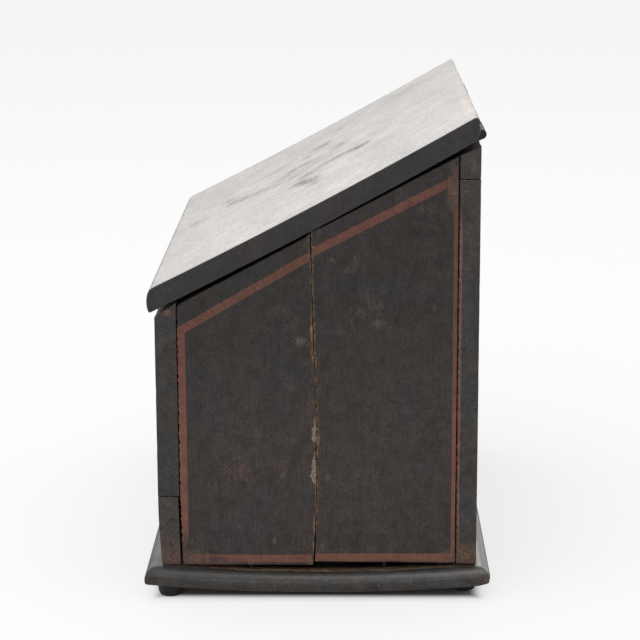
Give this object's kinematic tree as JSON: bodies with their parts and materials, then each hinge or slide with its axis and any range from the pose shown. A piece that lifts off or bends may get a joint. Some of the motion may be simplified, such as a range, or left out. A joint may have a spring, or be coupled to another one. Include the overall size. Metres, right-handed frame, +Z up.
{
  "type": "slant-lid painted wooden box",
  "caption": "Painted wooden box with a sloping hinged lid, plank sides and a moulded base on turned button feet, for papers and keepsakes.",
  "frame": {"origin": "on the floor, under the middle of the moulded base", "axes": "+Z up; the low front of the box faces -Y and its right end faces +X, seen from the front; the lid hinges along X at the back"},
  "size_m": [0.321, 0.196, 0.2742],
  "materials": {
    "case_paint": "old black-brown oil paint with a painted red line, rubbed at the edges",
    "lid_paint": "old black paint, glossier on top, bare brown wood inside",
    "base_paint": "old black paint on a moulded edge",
    "foot_paint": "black paint",
    "hinge_metal": "dark patinated iron",
    "hinge_screw": "dark patinated iron",
    "nail_iron": "dark iron, painted over"
  },
  "bodies": {
    "case": {"back_lower_board": "case_paint", "back_nails": "nail_iron", "back_top_board": "case_paint", "base_board": "base_paint", "base_nails": "nail_iron", "foot_back_left": "foot_paint", "foot_back_right": "foot_paint", "foot_front_left": "foot_paint", "foot_front_right": "foot_paint", "front_lower_board": "case_paint", "front_nails": "nail_iron", "front_upper_board": "case_paint", "left_hinge_body_leaf": "hinge_metal", "left_hinge_body_screws": "hinge_screw", "left_hinge_pin": "hinge_metal", "left_side_front_board": "case_paint", "left_side_rear_board": "case_paint", "right_hinge_body_leaf": "hinge_metal", "right_hinge_body_screws": "hinge_screw", "right_hinge_pin": "hinge_metal", "right_side_front_board": "case_paint", "right_side_rear_board": "case_paint"},
    "lid": {"left_hinge_lid_leaf": "hinge_metal", "left_hinge_lid_screws": "hinge_screw", "lid_board": "lid_paint", "right_hinge_lid_leaf": "hinge_metal", "right_hinge_lid_screws": "hinge_screw"}
  },
  "joints": [
    {"name": "lid_hinge", "type": "hinge", "parent": "case", "child": "lid", "pos_m": [0, 0.0922, 0.25992], "axis": [-1, 0, 0], "range_deg": [0, 195]}
  ]
}
